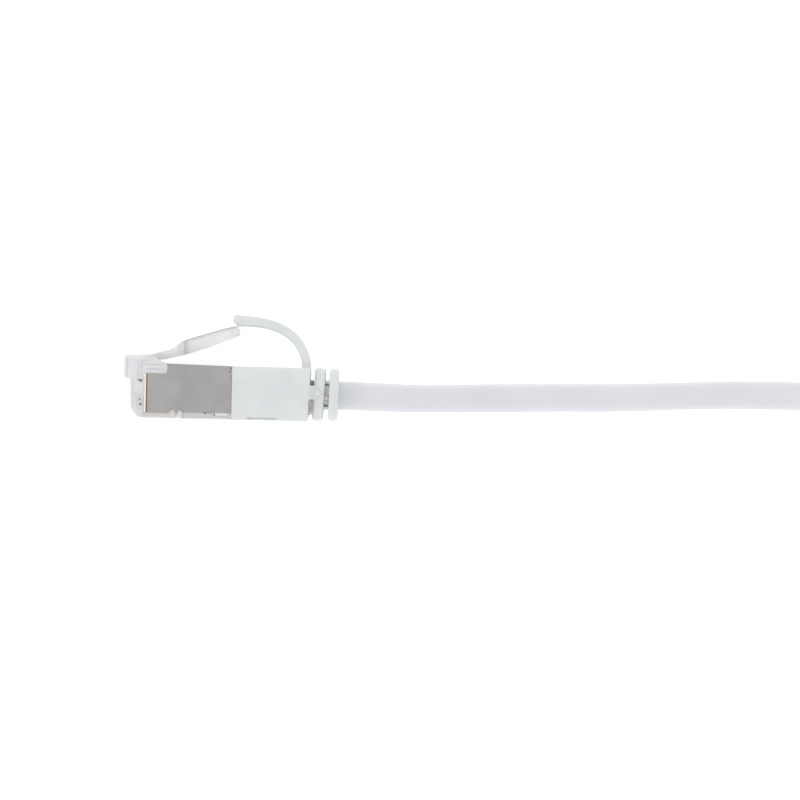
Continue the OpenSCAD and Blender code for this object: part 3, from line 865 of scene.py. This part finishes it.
def shield():
    """One folded sheet: two sides, a top and a bottom, and a crimp strap inside the boot."""
    body = solid("shield", lambda bm: bar(bm, shield_outline(0), NOSE_L - 0.08, SHIELD_END - 0.01))
    cut(body, lambda bm: bar(bm, shield_outline(SHEET_T), NOSE_L - 1, SHIELD_END + 1))
    # Open below the sides at the front, and above the wings of the nose
    cut(body, lambda bm: slab(bm, [(0, -1), (7.62, -1), (7.62, 0.3), (7.5, 0.93), (0, 0.93)], MID_Z + 1))
    cut(body, lambda bm: slab(bm, [(0, 5.9), (5.42, 5.9), (5.62, 6.7), (5.45, 7.2), (5.45, 9), (0, 9)],
                              MID_Z + 1))

    def side_cuts(bm):
        slit, wide, end = SEAM_SLOT
        for z0, z1 in both_sides(-1, 0.6):
            for x, y, rx, ry in NIBS:
                prism(bm, circle(x, y, (rx + 0.05, ry + 0.05), 20), z0, z1)
            prism(bm, [(slit, 0.86), (wide, 0.83), (wide, 0.64), (end, 0.64), (end, 0.94), (slit, 1.04)],
                  z0, z1)
            prism(bm, [(13.5, 6.2), (14, 6.1), (14, 6.95), (13.65, 6.98)], z0, z1)
            for y in (3.6, 4.1, 4.6, 5.2, 5.7):
                prism(bm, circle(SHIELD_END, y, 0.12, 12), z0, z1)
    cut(body, side_cuts)

    def front_edge(bm):
        for side in (-1, 1):
            face = MID_Z + side * MID_Z
            above, groove = face + side * 0.02, face - side * 0.06
            wall(bm, [(NOSE_L - 0.2, face - side * 0.1), (NOSE_L + 0.17, face), (NOSE_L + 0.17, face + side),
                      (NOSE_L - 0.2, face + side)], 0.5, 6.2)
            wall(bm, [(NOSE_L + 0.19, above), (NOSE_L + 0.21, groove), (NOSE_L + 0.3, groove),
                      (NOSE_L + 0.34, above)], 0.5, 6.2)
    cut(body, front_edge)
    # The top slopes down a little towards the boot
    for v in body.data.vertices:
        if v.co.y > 6:
            v.co.y -= max(0, v.co.x - 5.5) * 0.024 * (v.co.y - 6) / (SHIELD_H - 6)
    dress(soften(body, 0.03), NICKEL, LIP_PAINTED_HIGHLIGHT, CREASE_PAINTED_SHADOW, NICKEL_PAINTED_HIGHLIGHT)
    # the lower bend gets a painted highlight
    paint(body, 3, lambda c, n: c.y < 0.92 and n.y < -0.2)
    # the turned front edge gets a painted highlight
    paint(body, 1, lambda c, n: c.x < NOSE_L + 0.18 and c.y < 6)
    # the groove behind the turned edge gets a painted shadow
    paint(body, 2, lambda c, n: NOSE_L + 0.18 < c.x < NOSE_L + 0.36 and c.y < 6)
    return joined([body, crimp_strap()])


def oval(y, half_y, half_z, steps):
    """An oval section in Y and Z, flattened on its broad sides."""
    outline = []
    for a, b in circle(0, 0, 1, steps):
        outline.append((y + half_y * a, MID_Z + half_z * math.copysign(abs(b) ** FLATNESS, b)))
    return outline


def crimp_strap():
    """The shield's strap, which widens into a half pipe over the neck inside the boot."""
    y, half, pipe_x, strap_end = 5.65, 1.3, 18.5, 19.5
    strap = solid("strap", lambda bm: box(bm, (SHIELD_END - 0.3, y, MID_Z - half),
                                          (strap_end, y + SHEET_T, MID_Z + half)))
    pipe_r, pipe_half_z = 2.4, NECK_HALF_Z + 0.27
    outer, inner = (oval(NECK_Y, pipe_r - t, pipe_half_z - t, 48) for t in (0, SHEET_T))
    pipe = outer[-12:] + outer[:13] + inner[12::-1] + inner[:-13:-1]
    fuse(strap, lambda bm: box(bm, (pipe_x, 5.2, MID_Z - half), (strap_end, y + SHEET_T, MID_Z + half)))
    fuse(strap, lambda bm: bar(bm, pipe, pipe_x, BOOT_END + 0.4))
    # the strap's nickel in painted shade
    return dress(soften(strap, 0.04, 1), STRAP_PAINTED_SHADE)


def guard_curve(t):
    """A point of the guard's middle line and its direction, t from 0 at its free end to 1."""
    a, b, c, d = (np.array(p) for p in GUARD_LINE)
    point = a * (1 - t) ** 3 + 3 * b * t * (1 - t) ** 2 + 3 * c * t * t * (1 - t) + d * t ** 3
    slope = 3 * (b - a) * (1 - t) ** 2 + 6 * (c - b) * t * (1 - t) + 3 * (d - c) * t * t
    return point, slope / np.linalg.norm(slope)


def rounded_bar(bm, x0, x1, outline, edges):
    """A bar along X whose ends are rounded. outline(inset) gives its section, edges the two radii."""
    stations = []
    for start, inwards, r in ((x0, 1, edges[0]), (x1, -1, edges[1])):
        for k in range(6):
            a = math.radians(18 * k)
            stations.append((start + inwards * r * (1 - math.sin(a)), r * (1 - math.cos(a))))
    stations = sorted(stations)
    loft(bm, [[(x, y, z) for y, z in outline(inset)] for x, inset in stations])


def guard_shell(bm):
    """The snag guard's arch. It tapers to its foot and its long edges are round."""
    rings = []
    for k in range(29):
        t = k / 28
        point, slope = guard_curve(t)
        thick = GUARD_ROOT_R + (GUARD_TIP_R - GUARD_ROOT_R) * (1 - t) ** 2
        section = round_rect(-thick, thick, -GUARD_W / 2, GUARD_W / 2, 0.4, 4)
        rings.append([(point[0] - slope[1] * u, point[1] + slope[0] * u, MID_Z + w) for u, w in section])
    loft(bm, rings)


def guard_bead(bm):
    """A round bead along the guard's free end, which meets the latch's tip."""
    x0, y0 = GUARD_LINE[0]
    rings = []
    for inset, r in ((-0.1, 0.36), (0.02, 0.56), (0.22, 0.69)):
        for side in (-1, 1):
            w = side * (GUARD_W / 2 - inset)
            rings.append([(x, y, MID_Z + w) for x, y in circle(x0, y0 + 0.17, r, 24)])
    rings.sort(key=lambda ring: ring[0][2])
    loft(bm, rings)


def ring_shell(bm, x0, x1, lean):
    """A strain relief ring, which leans back by lean for each millimetre up."""
    start = len(bm.verts)
    rounded_bar(bm, x0, x1, lambda inset: round_rect(0.2 + inset, 7.02 - inset, MID_Z - 4.7 + inset,
                                                     MID_Z + 4.7 - inset, 2.0 - inset, 8), (0.4, 0.4))
    bm.verts.ensure_lookup_table()
    for v in bm.verts[start:]:
        v.co.x += (v.co.y - 3.6) * lean


def boot():
    """Boot, strain relief rings and snag guard: one soft moulding, with round edges and fillets."""
    def body_outline(inset):
        return round_rect(BOTTOM + inset, BOOT_H - inset, inset, PLUG_W - inset,
                          tuple(r - inset for r in (0.8, 0.45, 0.45, 0.8)), 6)

    def side_web(bm):
        for side in (-1, 1):
            z_in, z_body, z_ring = (MID_Z + side * d for d in (3.4, 5.5, 4.66))
            line = ((BOOT_END - 0.5, z_body), (BOOT_END, z_body - side * 0.1), (24.8, z_ring))
            loft(bm, [[(x, 2.97, z_in), (x, 4.71, z_in), (x, 4.71, z), (x, 2.97, z)] for x, z in line])

    def barrel_web(bm):
        for y0, y1 in ((AXIS_Y + 1.55, AXIS_Y + 1.85), (AXIS_Y - 1.85, AXIS_Y - 1.55)):
            box(bm, (25.5, y0, MID_Z - 3.9), (26.5, y1, MID_Z + 3.9))

    def pips(bm):
        for side in (-1, 1):
            loft(bm, [[(x, y, MID_Z + side * z) for x, y in circle(24.85, 3.8, r, 20)]
                      for z, r in ((3.5, 0.38), (4.95, 0.34), (5.12, 0.2))])

    def front_lip(bm):
        rounded_bar(bm, SHIELD_END - 0.38, SHIELD_END + 0.5,
                    lambda inset: body_outline(inset + SHEET_T + 0.04), (0.04, 0.04))

    shells = [solid("boot_drawing", lambda bm: rounded_bar(bm, SHIELD_END - 0.01, BOOT_END, body_outline,
                                                           (0.08, 0.3)))]
    # Its rear end leans like the rings
    for v in shells[0].data.vertices:
        v.co.x += max(0, v.co.x - BOOT_END + 1) * (v.co.y - 6) * 0.045
    shells += [solid("shell", draw) for draw in (
        front_lip, guard_shell, guard_bead, side_web, barrel_web, pips,
        lambda bm: ring_shell(bm, 24.27, 25.66, 0.05), lambda bm: ring_shell(bm, 26.23, 27.48, 0.022))]
    moulding = joined(shells)
    remesh = moulding.modifiers.new("remesh", "REMESH")
    remesh.mode, remesh.voxel_size = "VOXEL", 0.1
    smooth = moulding.modifiers.new("smooth", "SMOOTH")
    smooth.factor, smooth.iterations = 0.5, 4
    moulding.modifiers.new("thin", "DECIMATE").ratio = 0.3
    applied(moulding)

    # Hollow for the plug's rear, the neck and the cord
    for draw in (lambda bm: box(bm, (SHIELD_END - 1, 1.2, 1.2), (17.8, 6.0, PLUG_W - 1.2)),
                 lambda bm: bar(bm, oval(NECK_Y, 2.44, NECK_HALF_Z + 0.3, 48), 17, BOOT_END + 0.3),
                 lambda bm: bar(bm, oval(AXIS_Y, 1.56, NECK_HALF_Z, 48), BOOT_END + 0.1, 26.4),
                 lambda bm: bar(bm, circle(AXIS_Y, MID_Z, CORD_D / 2, 40), 26.3, 28.5)):
        cut(moulding, draw, own_overlaps=False)

    def low_recess(bm):
        for z0, z1 in both_sides(-0.3, 0.5):
            box(bm, (15.9, 0.3, z0), (19.65, 0.5, z1))
    cut(moulding, low_recess, own_overlaps=False)
    return dress(smooth_shaded(cleaned(moulding), 60), BOOT)


def lathe(name, outline, sides):
    """A ring about the cord's line. The outline is a closed loop of (x, r)."""
    def draw(bm):
        rings = []
        for k in range(sides):
            a = 2 * math.pi * k / sides
            rings.append([bm.verts.new((x, AXIS_Y + r * math.cos(a), MID_Z + r * math.sin(a)))
                          for x, r in outline])
        for ring, after in zip(rings, rings[1:] + rings[:1]):
            for j in range(len(outline)):
                bm.faces.new((ring[j - 1], ring[j], after[j], after[j - 1]))
    return solid(name, draw)


def ferrule():
    """A barrel with shallow crimp rings, squared by the crimp tool."""
    x0, x1, r = BOOT_END + 0.5, JACKET_X - 0.02, 1.52
    step = (x1 - x0) / 8
    crimps = [(x0 + step * k, 1.47 if k % 2 else r) for k in range(1, 8)]
    barrel = lathe("ferrule", [(x0, 1.36), (x0, 1.48)] + crimps + [(x1, 1.48), (x1, 1.36)], 64)
    for v in barrel.data.vertices:
        across = (v.co.z - MID_Z) / r
        v.co.z = MID_Z + math.copysign(abs(across) ** BARREL_FLATNESS, across) * (NECK_HALF_Z - 0.12)
    return dress(smooth_shaded(barrel, 35), CRIMP)


def braid():
    """The screen's braid, folded back: two sets of fine strands crossing on a sleeve."""
    sides, rows, x0, x1 = 96, 90, 18.6, BOOT_END + 0.45

    def draw(bm):
        rings = []
        for j in range(rows + 1):
            x = x0 + (x1 - x0) * j / rows
            ring = []
            for k in range(sides):
                a = 2 * math.pi * k / sides
                # Ridges where the two sets of strands cross
                r = 1 + 0.02 * math.sin(16 * a + 7 * x) * math.sin(16 * a - 7 * x)
                across = math.copysign(abs(math.sin(a)) ** FLATNESS, math.sin(a))
                ring.append((x, NECK_Y + 2.08 * r * math.cos(a), MID_Z + NECK_HALF_Z * r * across))
            rings.append(ring)
        loft(bm, rings)
    sleeve = solid("braid", draw)
    cut(sleeve, lambda bm: bar(bm, circle(AXIS_Y, MID_Z, 1.42, 40), x0 - 1, x1 + 1), own_overlaps=False)
    return dress(smooth_shaded(sleeve, 60), BRAID)


def settle(drawn, name, place, slot, *nodes, body="cable"):
    """A copy of a drawn piece in the shared frame, in place of these nodes. With body None it is attached to
    no body.
    """
    piece = new_object(name, drawn.data.copy())
    piece.data.transform(place)
    piece.data.update()
    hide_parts(*nodes)
    if body:
        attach(piece, body)
    return piece


def make_plug(drawn, far, place):
    """Every piece of one plug. far is "" for the near plug and "far_" for the other."""
    moulding = settle(drawn["boot"], far + "boot_moulding", place, "boot_plastic",
                      far + "boot", far + "snag_guard", body=None)
    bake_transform(moulding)
    lever = settle(drawn["latch"], far + "latch_lever", place, "clear_polycarbonate",
                   far + "latch", body=None)
    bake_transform(lever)
    pieces = [moulding, lever]
    for name, slot, node in (("housing", "clear_polycarbonate", "plug_housing"),
                             ("shield", "nickel_sheet", "shield_shell"),
                             ("ferrule", "nickel_sheet", "crimp_ferrule"),
                             ("braid", "copper_braid", "braid_screen")):
        pieces.append(settle(drawn[name], far + name + "_piece", place, slot, far + node))
    if far:
        pieces.append(settle(joined(drawn["contacts"]), "far_blades", place,
                             "contact_gold", "far_contacts"))
        pieces.append(settle(joined(drawn["wires"]), "far_conductors", place,
                             "wire_mixed", "far_wires"))
    else:
        for i, (blade, lead) in enumerate(zip(drawn["contacts"], drawn["wires"]), 1):
            colour, striped = WIRE_ORDER[i - 1]
            slot = "wire_" + ("white_" if striped else "") + colour
            pieces.append(settle(blade, blade.name + "_piece", place, "contact_gold", f"contact_{i}"))
            pieces.append(settle(lead, lead.name + "_piece", place, slot, f"wire_{i}"))
    dress(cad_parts[far + "load_bar"], INSERT)
    return pieces


drawings = {"housing": housing(), "latch": latch(), "shield": shield(), "boot": boot(),
            "ferrule": ferrule(), "braid": braid(), "contacts": [contact(i) for i in range(1, 9)],
            "wires": [wire(i) for i in range(1, 9)]}
make_plug(drawings, "", NEAR)
far_pieces = make_plug(drawings, "far_", FAR)
for drawing in drawings.values():
    # Joining took up all the contacts and wires but the first of each
    left = drawing[0] if isinstance(drawing, list) else drawing
    bpy.data.objects.remove(left)
dress(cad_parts["foil_screen"], FOIL)
dress(cable, JACKET)


# -------- the tie strap
def tie_strap():
    """A hook-and-loop strap round the hank's lower run."""
    low_y = HANK_LEFT[1] - OUTER_R - CORD_D / 2 - TIE_T
    high_y = HANK_LEFT[1] - INNER_R + CORD_D / 2 + TIE_T
    top = CORD_D * 2 + 2 * TIE_T
    outer = round_rect(low_y, high_y, 0, top, 1.9, 8)
    inner = round_rect(low_y + TIE_T, high_y - TIE_T, TIE_T, top - TIE_T, 1.35, 8)
    strap = solid("tie_strap", lambda bm: bar(bm, outer, TIE_X, TIE_X + TIE_W))
    cut(strap, lambda bm: bar(bm, inner, TIE_X - 1, TIE_X + TIE_W + 1))
    return dress(soften(strap, 0.15), STRAP)


strap = tie_strap()
strap.data.transform(Matrix.Scale(MM, 4))
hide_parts("hank_tie")
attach(strap, "cable")


# -------- stage and light
def make_floor():
    half = 3
    corners = [(-half, -half, 0), (half, -half, 0), (half, half, 0), (-half, half, 0)]
    mesh = bpy.data.meshes.new("floor")
    mesh.from_pydata(corners, [], [(0, 1, 2, 3)])
    f = Finish("floor", (0.9, 0.9, 0.9), 0.7, Emission_Color=(1, 1, 1, 1), Emission_Strength=0.52)
    f.bump(f.noise(3, 2), 0.02, 0.1)
    dress(new_object("floor", mesh), f.mat)


def make_light():
    """Even studio light, darker towards the horizon, and one soft lamp up on the left."""
    world = bpy.data.worlds.new("world")
    bpy.context.scene.world = world
    world.use_nodes = True
    tree = world.node_tree
    where = tree.nodes.new("ShaderNodeTexCoord")
    apart = tree.nodes.new("ShaderNodeSeparateXYZ")
    ramp = tree.nodes.new("ShaderNodeValToRGB")
    tree.links.new(where.outputs["Generated"], apart.inputs["Vector"])
    tree.links.new(apart.outputs["Z"], ramp.inputs["Fac"])
    tree.links.new(ramp.outputs["Color"], tree.nodes["Background"].inputs["Color"])
    middle = ramp.color_ramp.elements.new(0.5)
    low, high = ramp.color_ramp.elements[0], ramp.color_ramp.elements[2]
    for stop, place, light in ((low, 0, 0.62), (middle, 0.5, 0.94), (high, 0.98, 0.84)):
        stop.position, stop.color = place, (light, light, light * 1.005, 1)
    tree.nodes["Background"].inputs["Strength"].default_value = 0.96
    key = bpy.data.lights.new("key", "AREA")
    key.shape, key.size, key.energy = "DISK", 0.9, 3
    lamp = new_object("key", key)
    lamp.location = (-0.85, -0.05, 1.05)
    lamp.rotation_euler = (Vector((0, 0, 0)) - lamp.location).to_track_quat("-Z", "Y").to_euler()
    bpy.context.scene.view_settings.view_transform = "Standard"


make_floor()
make_light()
